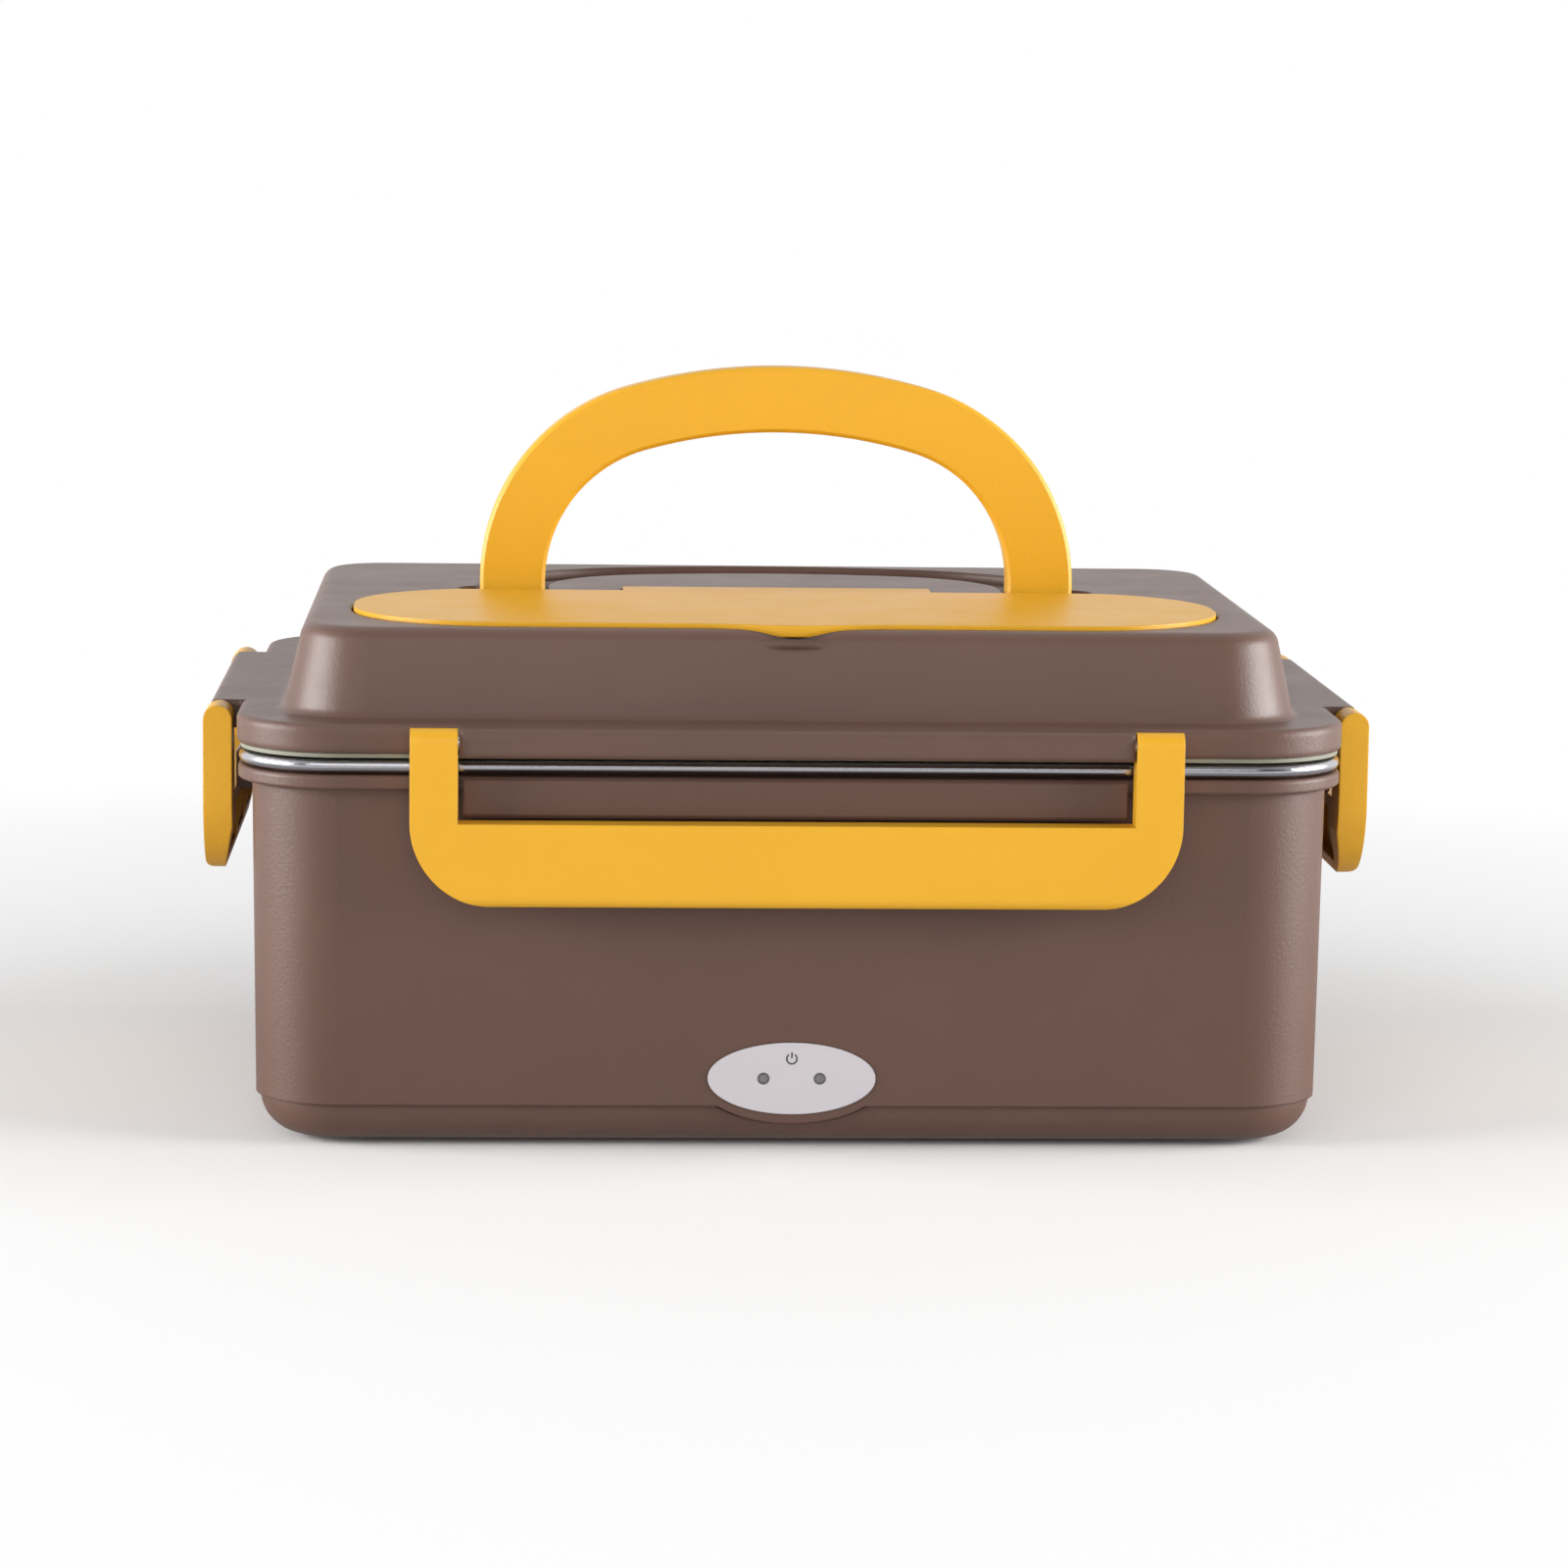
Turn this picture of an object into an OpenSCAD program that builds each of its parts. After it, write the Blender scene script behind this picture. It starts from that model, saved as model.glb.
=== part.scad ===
// Electric lunch box: a moulded body with a heated floor, a lift-out steel
// container, and a lid with a folding handle and a cutlery compartment, held
// down by four latches. Millimetres, +Z up, front face towards -Y, origin on
// the table under the centre of the body.

/* [Rim and body] */
// Length over the lid's rim
rim_l = 237; // [232:0.5:260]
// Depth over the lid's rim
rim_d = 174; // [172:0.5:190]
// Corner radius of the rim, seen from above
rim_r = 22; // [21:0.5:24]
// Height of the body's lip above the table
body_top = 80.9; // [79:0.1:90]
// Height of the seam between body and base cover
seam_z = 9.8; // [9.8:0.1:10.4]
// Setback of the body wall from the rim, just under the lip
wall_in = 3.3; // [3:0.1:3.6]
// Draft of the body wall, from lip to seam
wall_draft = 0.7; // [0.3:0.1:1]
// Thickness of the body wall
wall_t = 2.6; // [2.4:0.1:2.8]
// Height of the lip round the top of the body
lip_h = 3; // [2:0.1:4]
// Height of the floor that carries the heating plate
floor_z = 21.5; // [21.5:0.1:23]

/* [Lid] */
// Gap between the body's lip and the lid's flange
rim_gap = 4.7; // [4.7:0.1:5]
// Height of the lid's flange
flange_h = 6.1; // [5.8:0.1:6.6]
// Height of the lid's raised top above the flange
dome_h = 18.9; // [18.6:0.1:20]
// Setback of the raised top's foot from the rim
dome_foot = 9.7; // [9:0.1:10]
// Setback of the raised top's upper edge from the rim
dome_inset = 13.9; // [13:0.1:14.2]
// Corner radius that the raised top keeps where the rim has its own
dome_r = 28; // [24:0.5:29]
// Radius of the raised top's upper edge
arris_r = 3.5; // [3:0.1:3.8]
// Reach of the latch blocks beyond the rim
block_reach = 6.85; // [6.4:0.05:7]

/* [Latches] */
// Width over the front and rear latches
front_latch_w = 162; // [150:1:166]
// Width over the side latches
side_latch_w = 112; // [100:1:114]
// Width of a latch arm
arm_w = 10; // [9:0.5:12]
// Thickness of a latch
latch_t = 6.2; // [6:0.1:6.3]
// Distance from the rim to the latch's outer face
latch_reach = 7.8; // [7.7:0.1:7.9]
// Height of the latch's lower edge above the table
latch_z0 = 54.1; // [50:0.1:58]
// Height of the latch's crossbar
bar_h = 17.8; // [15:0.1:19]
// Radius of the latch's lower corners
latch_r = 18; // [12:0.5:19]

/* [Handle] */
// Distance between the middles of the handle's legs
handle_span = 120.4; // [118:0.2:122]
// Height of the handle's top above the table
handle_top = 161.9; // [158:0.1:163]
// Width of the handle's bar, seen from the front
handle_w = 14.8; // [13:0.1:15]
// Thickness of the handle's bar, seen from the side
handle_t = 9; // [8:0.1:9]
// Distance of the shoulders' centres from the middle of the handle
shoulder_x = 21.7; // [19.6:0.7:23.8]

/* [Cutlery cover] */
// Length of the cover
cover_l = 189.4; // [186:0.2:190]
// Front edge of the cover
cover_y0 = -68.3; // [-68.6:0.1:-68]
// Back edge of the cover, just behind its hinge
cover_y1 = 3; // [2:0.1:3.2]
// Corner radius of the cover
cover_r = 33; // [26:0.5:34]
// Thickness of the cover
cover_t = 2.5; // [2.2:0.1:2.5]
// How far the cover stands above the lid's top
cover_proud = 0.9; // [0.7:0.1:1]
// Length of the tongue that dips behind the hinge as the cover opens
tongue_l = 70; // [60:1:70]
// Reach of the tongue behind the cover
tongue_reach = 8.5; // [6:0.1:8.5]
// Reach of the finger lip in front of the cover
lip_reach = 3; // [2:0.1:3.2]
// Width of the finger lip
lip_w = 40; // [30:1:44]

/* [Indicator and inlet] */
// Length of the oval indicator panel
panel_l = 35.8; // [30:0.1:36]
// Height of the oval indicator panel
panel_h = 15.5; // [13:0.1:15.6]
// Height of the panel's centre, and the inlet's, above the table
panel_z = 15.9; // [15.8:0.05:16]
// Distance between the two status lights
led_pitch = 12; // [10:0.1:14]
// Distance between the inlet's two pins
inlet_pitch = 8.6; // [8:0.1:9]

/* [Hidden] */

$fn = 64;
eps = 0.01;

// Colours
cocoa = [0.43, 0.34, 0.30];
amber = [0.92, 0.68, 0.20];
steel = [0.78, 0.79, 0.81];
white = [0.84, 0.83, 0.84];
rubber = [0.16, 0.15, 0.15];
silicone = [0.72, 0.70, 0.64];

// The rim's corners turn about these points, and so does every wall below it
core_x = rim_l / 2 - rim_r;
core_y = rim_d / 2 - rim_r;

// Heights of the stack, from the body's lip to the lid's top
lip_z = body_top - lip_h;
ledge_z = body_top + 1.3;
sheet_z = ledge_z + 0.3;
flange_z = body_top + rim_gap;
shoulder_z = flange_z + flange_h;
top_z = shoulder_z + dome_h;
skin = 2.4;
skin_z = top_z - skin;

// The raised top leans in by this angle, and its edge turns about this point
lean = atan((dome_inset - dome_foot) / dome_h);
arris_z = top_z - arris_r;
arris_x = -dome_foot - (arris_r + (arris_z - shoulder_z) * sin(lean)) / cos(lean);

// Latch pivots, as a distance outwards from the rim and a height
pivot_x = latch_reach - latch_t / 2;
pivot_z = shoulder_z - latch_t / 2;
latch_pin_r = 1.4;
run = 0.05;
block_gap = 0.35;
bar_top = latch_z0 + bar_h;

// Handle pivot, and the two arcs of its middle line above the pivot
handle_y = 11.1;
handle_z = top_z - handle_t / 2;
half_span = handle_span / 2;
crown_h = handle_top - handle_w / 2 - handle_z;
shoulder_r = half_span - shoulder_x;
// Crown and shoulder meet where both point along this unit vector
joint_dir = [0.28, 0.96];
crown_r = shoulder_r + shoulder_x / joint_dir.x;
leg_h = crown_h - crown_r + shoulder_x / joint_dir.x * joint_dir.y;
bar_bevel = 0.8;
handle_pin_r = 2;

// Cutlery cover, and the barrel of its hinge along the back edge
cover_top = top_z + cover_proud;
cover_z = cover_top - cover_t;
barrel_r = 2.1;
hinge_y = cover_y1 - barrel_r;
hinge_z = cover_top - barrel_r;
cover_pin_r = 0.8;
cover_pin_l = 172;
seat_z = cover_z - 0.3;
seat_gap = 0.6;
gutter_x = cover_l / 2 - cover_r + sqrt(cover_r ^ 2 - (cover_r - 2 * barrel_r) ^ 2) + seat_gap;
// Room that the tongue needs as it dips
dip_r = 11.2 + tongue_reach - 8.5;

// Pockets in the lid
tray_l = 172;
tray_y0 = -62;
tray_y1 = -4;
tray_z = 94.8 + top_z - 110.6;
groove_gap = 0.9;
groove_z = handle_z - handle_t / 2 - 0.6;
pocket_t = 1.6;
valve_y = 58;

// Base: the tray's rounded edge starts this far inside the rim
base_in = 5;
base_z = 1;
base_t = 2.2;
base_r = seam_z - base_z;
foot_x = 90;
foot_y = 58;
screw_x = 80;
screw_y = 42;

// Floor and heating plate
floor_t = 2.5;
floor_top = floor_z + floor_t;
plate_t = 1.2;
plate_l = 150;
plate_d = 96;
window_l = 120;
window_d = 70;
tub_z = floor_top + plate_t + 0.3;

// Front and rear faces of the body wall at the height of the panel
wall_y = rim_d / 2 - wall_in - wall_draft;
panel_y = wall_y + 0.35;
panel_t = 1.35;
lobe_rim = 2.1;

/* Shared shapes */

// Points of an arc from angle a0 to a1
function arc(x, y, r, a0, a1, n = 8) =
    [for (i = [0 : n]) let (a = a0 + (a1 - a0) * i / n) [x + r * cos(a), y + r * sin(a)]];

// Points of an ellipse
function oval(a, b, n = 64) = [for (i = [0 : n - 1]) [a * cos(360 * i / n), b * sin(360 * i / n)]];

// Sweeps a profile round the rim. The profile's x runs outwards from the rim's
// edge, so it is negative inside, and its y is the height.
module swept(r = rim_r) {
    for (q = [0 : 3]) {
        along = (q % 2 == 0 ? rim_l : rim_d) / 2 - r;
        across = (q % 2 == 0 ? rim_d : rim_l) / 2 - r;
        rotate([0, 0, 90 * q]) translate([along, across, 0]) {
            rotate_extrude(angle = 90) translate([r, 0]) children();
            rotate([90, 0, 0]) linear_extrude(2 * across) translate([r, 0]) children();
        }
    }
}

// Runs a profile along one straight side: 0 right, 1 rear, 2 left, 3 front
module on_side(q, width) {
    reach = q % 2 == 0 ? rim_l / 2 : rim_d / 2;
    rotate([0, 0, 90 * q]) translate([reach, width / 2, 0])
        rotate([90, 0, 0]) linear_extrude(width) children();
}

// Flat outline with four equal corner radii
module rounded(l, d, r) {
    square([l - 2 * r, d], center = true);
    square([l, d - 2 * r], center = true);
    for (x = [-1, 1], y = [-1, 1]) translate([x * (l / 2 - r), y * (d / 2 - r)]) circle(r);
}

// Plate that follows the rim at a given setback
module rim_plate(inset, z, h) {
    translate([0, 0, z]) linear_extrude(h) rounded(rim_l - 2 * inset, rim_d - 2 * inset, rim_r - inset);
}

// Puts children at the four corners of a rectangle
module corners(x, y) {
    for (i = [-1, 1], j = [-1, 1]) translate([i * x, j * y, 0]) children();
}

// Prism standing on the XZ plane, from y towards the front
module fronted(y, h) {
    translate([0, y, 0]) rotate([90, 0, 0]) linear_extrude(h) children();
}

// Cylinder along X, between two places
module x_rod(x0, x1, r) {
    translate([x0, 0, 0]) rotate([0, 90, 0]) cylinder(h = x1 - x0, r = r);
}

/* Body */

module body_wall() {
    swept() polygon(concat(
        [[-wall_in - wall_draft, seam_z], [-wall_in, lip_z - 0.8]],
        arc(-wall_in + 0.8, lip_z - 0.8, 0.8, 180, 90, 4),
        [[-0.7, lip_z], [-0.3, lip_z + 0.4]],
        arc(-1.1, body_top - 0.8, 0.8, 0, 90, 4),
        [[-3.4, body_top], [-3.4, ledge_z], [-wall_in - wall_t, ledge_z],
         [-wall_in - wall_t - wall_draft, seam_z]]));
}

// Raised blocks that the latch hooks close under
module catches() {
    reach = latch_reach - latch_t - 0.3;
    block = [[-wall_in - 0.5, bar_top + 0.3], [reach - 0.8, bar_top + 0.3], [reach, bar_top + 1.1],
             [reach, body_top - 0.7], [reach - 0.7, body_top], [-wall_in - 0.5, body_top]];
    for (q = [0 : 3])
        on_side(q, (q % 2 == 0 ? side_latch_w : front_latch_w) - 2 * arm_w - 2.2) polygon(block);
}

// Ledge inside the wall that the floor is pulled down on, open behind the
// panel's board and round the inlet
module floor_ledge() {
    difference() {
        swept() polygon([[-5.8, floor_z], [-9.2, floor_z], [-9.2, floor_z - 1.2], [-5.8, floor_z - 3.6]]);
        translate([-20, -rim_d / 2, 0]) cube([40, 20, 40]);
        translate([-15, rim_d / 2 - 20, 0]) cube([30, 20, 40]);
    }
}

module outer_body() {
    color(cocoa) difference() {
        union() {
            body_wall();
            catches();
            floor_ledge();
            // Lobe that carries the panel down across the seam
            fronted(-wall_y + 2.1, 2.1) translate([0, panel_z])
                polygon(oval(panel_l / 2 + lobe_rim, panel_h / 2 + lobe_rim));
            // Pegs that hold the board with the lights
            for (x = [-11.5, 11.5]) translate([x, -wall_y + 4.1, panel_z]) rotate([90, 0, 0])
                cylinder(h = 3, r = 1.8);
        }
        fronted(-panel_y + panel_t, 5) translate([0, panel_z])
            polygon(oval(panel_l / 2 + 0.05, panel_h / 2 + 0.05));
        for (x = [-led_pitch / 2, led_pitch / 2]) translate([x, -wall_y + 8, panel_z])
            rotate([90, 0, 0]) cylinder(h = 10, r = 1.6);
        // Inlet window and the shallow seat of its flange
        fronted(wall_y + 5, 14) translate([0, panel_z]) square([22, 9.2], center = true);
        fronted(wall_y + 5, 6) translate([0, panel_z]) rounded(26, 11.8, 2);
    }
}

// Floor under the heating plate, on four screw towers
module heater_tray() {
    color(cocoa * 0.92) difference() {
        union() {
            rim_plate(wall_in + wall_t + wall_draft + 0.3, floor_z, floor_t);
            corners(screw_x, screw_y) translate([0, 0, base_z + 4.2])
                cylinder(h = floor_z - base_z - 3.2, r = 4);
        }
        translate([0, 0, floor_z - 1]) linear_extrude(floor_t + 2) rounded(window_l, window_d, 8);
        corners(68, 41) translate([0, 0, floor_z - 1]) cylinder(h = floor_t + 2, r = 1.3);
        corners(screw_x, screw_y) translate([0, 0, base_z + 4]) cylinder(h = 12.2, r = 1.4);
    }
}

module base_cover() {
    color(cocoa * 0.96) difference() {
        union() {
            swept() difference() {
                polygon(concat([[-base_in - base_r, seam_z]],
                    arc(-base_in - base_r, seam_z, base_r, 0, -90, 12)));
                polygon(concat([[-base_in - base_r - 1, seam_z + 1], [-base_in - base_t, seam_z + 1]],
                    arc(-base_in - base_r, seam_z, base_r - base_t, 0, -90, 12),
                    [[-base_in - base_r - 1, base_z + base_t]]));
            }
            rim_plate(base_in + base_r, base_z, base_t);
            // Rim that locates the cover inside the wall, open at the panel and the inlet
            difference() {
                swept() polygon([[-6.9, seam_z - 2], [-6.9, seam_z + 2.7],
                    [-8.3, seam_z + 2.7], [-8.3, seam_z - 2.6]]);
                translate([-24, -rim_d / 2, 0]) cube([48, 20, 20]);
                translate([-15, rim_d / 2 - 20, 0]) cube([30, 20, 20]);
            }
            corners(screw_x, screw_y) cylinder(h = base_z + 4.2, r = 5.2);
            // Posts under the heat shield
            corners(34, 24) translate([0, 0, base_z + 1]) cylinder(h = 13.5 - base_z, r = 3);
        }
        // Round the panel's lobe
        fronted(-wall_y + 3.4, 8) translate([0, panel_z])
            polygon(oval(panel_l / 2 + lobe_rim + 0.35, panel_h / 2 + lobe_rim + 0.35));
        // Underside, screw seats and foot seats
        translate([-rim_l, -rim_d, base_z - 10]) cube([2 * rim_l, 2 * rim_d, 10]);
        corners(screw_x, screw_y) {
            translate([0, 0, base_z - 1]) cylinder(h = 3.4, r = 3.2);
            translate([0, 0, base_z - 1]) cylinder(h = 8, r = 1.7);
        }
        corners(foot_x, foot_y) translate([0, 0, base_z - 1]) cylinder(h = 2.2, r = 6.5);
        // Room for the inlet's back
        translate([-15, rim_d / 2 - 20, seam_z - 0.2]) cube([30, 20, 12]);
    }
}

module rubber_feet() {
    color(rubber) corners(foot_x, foot_y) rotate_extrude()
        polygon(concat([[0, 0], [5.2, 0]], arc(5.2, 0.8, 0.8, -90, 0, 4),
            [[6.5, 1], [6.5, base_z + 1.2], [0, base_z + 1.2]]));
}

module base_screws() {
    color(steel) corners(screw_x, screw_y) translate([0, 0, base_z + 0.6]) difference() {
        union() {
            cylinder(h = 1.8, r = 2.9);
            cylinder(h = 13, r = 1.4);
        }
        for (a = [0, 90]) rotate([0, 0, a]) translate([-1.9, -0.35, -1]) cube([3.8, 0.7, 1.9]);
    }
}

/* Indicator */

module indicator_panel() {
    color(white) difference() {
        fronted(-panel_y + panel_t, panel_t) translate([0, panel_z]) polygon(oval(panel_l / 2, panel_h / 2));
        for (x = [-led_pitch / 2, led_pitch / 2]) translate([x, -panel_y + 5, panel_z])
            rotate([90, 0, 0]) cylinder(h = 10, r = 1.1);
    }
}

module light_pipes() {
    color([0.48, 0.47, 0.48]) for (x = [-led_pitch / 2, led_pitch / 2])
        translate([x, -panel_y + panel_t, panel_z]) rotate([90, 0, 0]) {
            cylinder(h = panel_t - 0.15, r = 1.1);
        }
}

module status_leds() {
    color([0.9, 0.9, 0.85]) for (x = [-led_pitch / 2, led_pitch / 2])
        translate([x, -wall_y + 4.1, panel_z]) rotate([90, 0, 0]) {
            cylinder(h = 1.6, r = 1.5);
            translate([0, 0, 1.6]) sphere(1.5);
        }
}

module led_board() {
    color([0.10, 0.32, 0.18]) fronted(-wall_y + 5.7, 1.6) translate([0, panel_z]) rounded(30, 11, 1);
}

/* Power inlet */

module inlet_socket() {
    color(rubber) difference() {
        union() {
            fronted(wall_y, 15) translate([0, panel_z]) square([22, 9.2], center = true);
            fronted(wall_y, 1) translate([0, panel_z]) rounded(26, 11.8, 2);
        }
        fronted(wall_y + 1, 13) translate([0, panel_z]) {
            square([inlet_pitch, 8], center = true);
            for (s = [-1, 1]) translate([s * inlet_pitch / 2, 0]) circle(4);
        }
        for (s = [-1, 1]) translate([s * inlet_pitch / 2, wall_y + 1, panel_z]) rotate([90, 0, 0])
            cylinder(h = 20, r = 1.2);
    }
}

module inlet_pins() {
    color([0.80, 0.72, 0.45]) for (s = [-1, 1])
        translate([s * inlet_pitch / 2, wall_y - 4, panel_z]) rotate([90, 0, 0]) {
            translate([0, 0, 1.2]) cylinder(h = 14, r = 1.2);
            translate([0, 0, 1.2]) sphere(1.2);
        }
}

/* Heating */

module heating_plate() {
    color([0.66, 0.67, 0.68]) difference() {
        translate([0, 0, floor_top]) linear_extrude(plate_t) rounded(plate_l, plate_d, 14);
        corners(68, 41) translate([0, 0, floor_top - 1]) cylinder(h = 4, r = 1.3);
        corners(68, 41) translate([0, 0, floor_top + 0.4]) cylinder(h = 2, r = 2.6);
    }
}

module plate_screws() {
    color(steel) corners(68, 41) difference() {
        union() {
            translate([0, 0, floor_top + 0.4]) cylinder(h = 0.6, r = 2.6);
            translate([0, 0, floor_z - 3]) cylinder(h = floor_t + 3.5, r = 1.3);
        }
        for (a = [0, 90]) rotate([0, 0, a]) translate([-1.6, -0.3, floor_top + 0.7]) cube([3.2, 0.6, 1]);
    }
}

module heater_elements() {
    color([0.80, 0.80, 0.78]) for (y = [-17, 17])
        translate([0, y, floor_top - 5]) linear_extrude(5) rounded(64, 20, 2);
}

// Bar that presses both elements against the plate
module heater_clamp() {
    color(steel * 0.9) difference() {
        union() {
            for (y = [-17, 17]) translate([-8, y - 11, floor_top - 6.2]) cube([16, 22, 1.2]);
            translate([-8, -6.5, floor_top - 6.2]) cube([16, 13, 1.2]);
        }
        translate([0, 0, floor_top - 8]) cylinder(h = 6, r = 1.6);
    }
}

module clamp_nuts() {
    color([0.70, 0.66, 0.50]) {
        translate([0, 0, floor_top - 7.8]) cylinder(h = 7.8, r = 1.5);
        translate([0, 0, floor_top - 7.6]) cylinder(h = 1.4, r = 3.2, $fn = 6);
    }
}

module heat_shield() {
    color([0.86, 0.83, 0.74]) translate([0, 0, 14.5]) linear_extrude(1.2) rounded(84, 62, 4);
}

module thermostat() {
    color([0.25, 0.25, 0.27]) translate([50, 0, 0]) {
        translate([0, 0, floor_top - 3]) cylinder(h = 3, r = 8);
        translate([0, 0, floor_top - 9]) cylinder(h = 6, r = 6.5);
        for (y = [-3.5, 3.5]) translate([-2, y - 0.4, floor_top - 13]) cube([4, 0.8, 4.1]);
    }
}

module thermal_fuse() {
    color([0.75, 0.70, 0.55]) translate([-48, 0, floor_top - 2.6]) {
        rotate([90, 0, 0]) translate([0, 0, -6]) cylinder(h = 12, r = 2);
        rotate([90, 0, 0]) translate([0, 0, -14]) cylinder(h = 28, r = 0.6);
        translate([-3, -4, 0.8]) cube([6, 8, 1.8]);
    }
}

// Leads from the inlet to the thermostat and the fuse, on to the heaters, and to the board
lead_r = 0.9;
leads = [
    [[4.3, 63.8, 15.9], [4.3, 58, 12.5], [30, 50, 8], [56, 34, 8], [57, 12, 9], [52, 3.5, 13]],
    [[-4.3, 63.8, 15.9], [-4.3, 58, 12.5], [-30, 50, 8], [-54, 36, 8], [-54, 20, 14], [-48, 13.5, 21.4]],
    [[48, -3.5, 13], [47, -12, 9], [46, -36, 8], [22, -56, 8], [8, -70, 12], [8, -77.3, 15]],
    [[-48, -13.5, 21.4], [-51, -22, 13], [-46, -38, 8], [-22, -56, 8], [-8, -70, 12], [-8, -77.3, 15]],
    [[48, -3.5, 12], [45, -9, 11], [44.5, -15, 15], [41, -17, 20.5], [32, -17, 21.5]],
    [[-48, -12, 21.4], [-44, -16, 20], [-38, -17, 21.5], [-32, -17, 21.5]],
    [[32, 14, 21.5], [36, 8, 20], [36, -7, 20], [32, -12, 21.5]],
    [[-32, 14, 21.5], [-36, 8, 20], [-36, -7, 20], [-32, -12, 21.5]]
];

function unit(v) = v / norm(v);

// Point of the smooth curve through four points, at t from the second to the third
function along(a, b, c, d, t) =
    (2 * b + (c - a) * t + (2 * a - 5 * b + 4 * c - d) * t ^ 2 + (3 * b - a - 3 * c + d) * t ^ 3) / 2;

function smooth(p, n) = concat(
    [for (i = [0 : len(p) - 2], j = [0 : n - 1])
        along(p[max(i - 1, 0)], p[i], p[i + 1], p[min(i + 2, len(p) - 1)], j / n)],
    [p[len(p) - 1]]);

// Carries a sideways vector along the tangents without twist
function carried(tangents, side, i = 0) = i == len(tangents) ? [] :
    let (v = unit(side - (side * tangents[i]) * tangents[i]))
    concat([v], carried(tangents, v, i + 1));

// Round lead of eight sides along a smooth curve
module lead(route, sides = 8) {
    p = smooth(route, 4);
    n = len(p);
    t = [for (i = [0 : n - 1]) unit(p[min(i + 1, n - 1)] - p[max(i - 1, 0)])];
    u = carried(t, [0.1, 0.2, 1]);
    ring = [for (i = [0 : n - 1], k = [0 : sides - 1])
        p[i] + lead_r * (cos(360 * k / sides) * u[i] + sin(360 * k / sides) * cross(t[i], u[i]))];
    wall = [for (i = [0 : n - 2], k = [0 : sides - 1])
        let (a = i * sides + k, b = i * sides + (k + 1) % sides)
        each [[a, a + sides, b + sides], [a, b + sides, b]]];
    ends = [[for (k = [0 : sides - 1]) k], [for (k = [sides - 1 : -1 : 0]) (n - 1) * sides + k]];
    polyhedron(ring, concat(wall, ends));
}

module wiring_harness() {
    color([0.65, 0.12, 0.10]) for (route = leads) lead(route);
}

/* Container */

module steel_container() {
    color(steel) {
        swept() {
            polygon(concat(
                [[-rim_r, tub_z]], arc(-18, tub_z + 8, 8, -90, -4, 10),
                [[-7.2, sheet_z - 1]], [[-6.2, sheet_z]], [[-2.2, sheet_z]], [[-2.2, sheet_z + 0.8]],
                arc(-6.4, sheet_z - 1, 1.8, 90, 176, 5),
                arc(-18, tub_z + 8, 7.2, -4, -90, 10), [[-rim_r, tub_z + 0.8]]));
            translate([-2.2, sheet_z + 0.45]) circle(1, $fn = 24);
        }
        translate([-core_x, -core_y, tub_z]) cube([2 * core_x, 2 * core_y, 0.8]);
    }
}

/* Lid */

// Cross-section of the lid's rim, with the lip that holds the seal
module flange_profile() {
    polygon(concat(
        [[-1.9, flange_z], [-0.5, flange_z], [0, flange_z + 0.5]],
        arc(-1.2, shoulder_z - 1.2, 1.2, 0, 90, 5),
        [[-dome_foot - 7, shoulder_z], [-dome_foot - 7, flange_z + 3.6], [-10.5, flange_z + 3.6],
         [-10.5, flange_z], [-9, flange_z], [-9, flange_z + 3.6], [-1.9, flange_z + 3.6]]));
}

// Cross-section of the raised top: its foot, its leaning wall and its edge
module dome_profile() {
    fillet_x = -dome_foot + 2 * (1 - sin(lean)) / cos(lean);
    polygon(concat(
        [[fillet_x, shoulder_z - 1]],
        arc(fillet_x, shoulder_z + 2, 2, 270, 180 + lean, 4),
        arc(arris_x, arris_z, arris_r, lean, 90, 8),
        [[-dome_r, top_z], [-dome_r, top_z - skin]],
        arc(arris_x, arris_z, arris_r - skin, 90, lean, 4),
        [[-dome_foot - skin / cos(lean), shoulder_z - 1]]));
}

// Blocks on the rim between the latch arms
module latch_blocks() {
    block = [[-1.5, flange_z], [block_reach - 0.6, flange_z], [block_reach, flange_z + 0.6],
             [block_reach, shoulder_z - 1], [block_reach - 1, shoulder_z], [-1.5, shoulder_z]];
    for (q = [0 : 3])
        on_side(q, (q % 2 == 0 ? side_latch_w : front_latch_w) - 2 * arm_w - 2 * block_gap) polygon(block);
}

// Sweeps a profile along the handle's middle line, which lies in the XY plane
// with the pivot at y = 0. The profile's x runs across the bar.
module arched(foot) {
    far = 2 * crown_r;
    for (s = [0, 1]) mirror([s, 0, 0]) {
        translate([half_span, leg_h, 0]) rotate([90, 0, 0]) linear_extrude(leg_h - foot) children();
        translate([shoulder_x, leg_h, 0]) intersection() {
            rotate_extrude(angle = 90, $fn = 96) translate([shoulder_r, 0]) children();
            translate([0, 0, -far]) linear_extrude(2 * far)
                polygon([[0, 0], [far, 0], [far, joint_dir.y * far], joint_dir * far]);
        }
        translate([0, crown_h - crown_r, 0]) intersection() {
            rotate_extrude(angle = 90, $fn = 96) translate([crown_r, 0]) children();
            translate([0, 0, -far]) linear_extrude(2 * far)
                polygon([[0, 0], joint_dir * far, [joint_dir.x * far, far], [0, far]]);
        }
    }
}

// Outline of the cutlery cover, grown by a gap
module cover_outline(gap) {
    translate([0, (cover_y0 + cover_y1) / 2])
        rounded(cover_l + 2 * gap, cover_y1 - cover_y0 + 2 * gap, cover_r + gap);
}

// Finger lip that swells from the cover's front edge
module front_lip(gap, reach) {
    half = lip_w / 2 + gap;
    polygon(concat([[half, cover_y0 + 4], [-half, cover_y0 + 4]],
        [for (i = [-12 : 12]) [half * i / 12, cover_y0 - gap - reach * (1 + cos(15 * i)) / 2]]));
}

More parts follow.
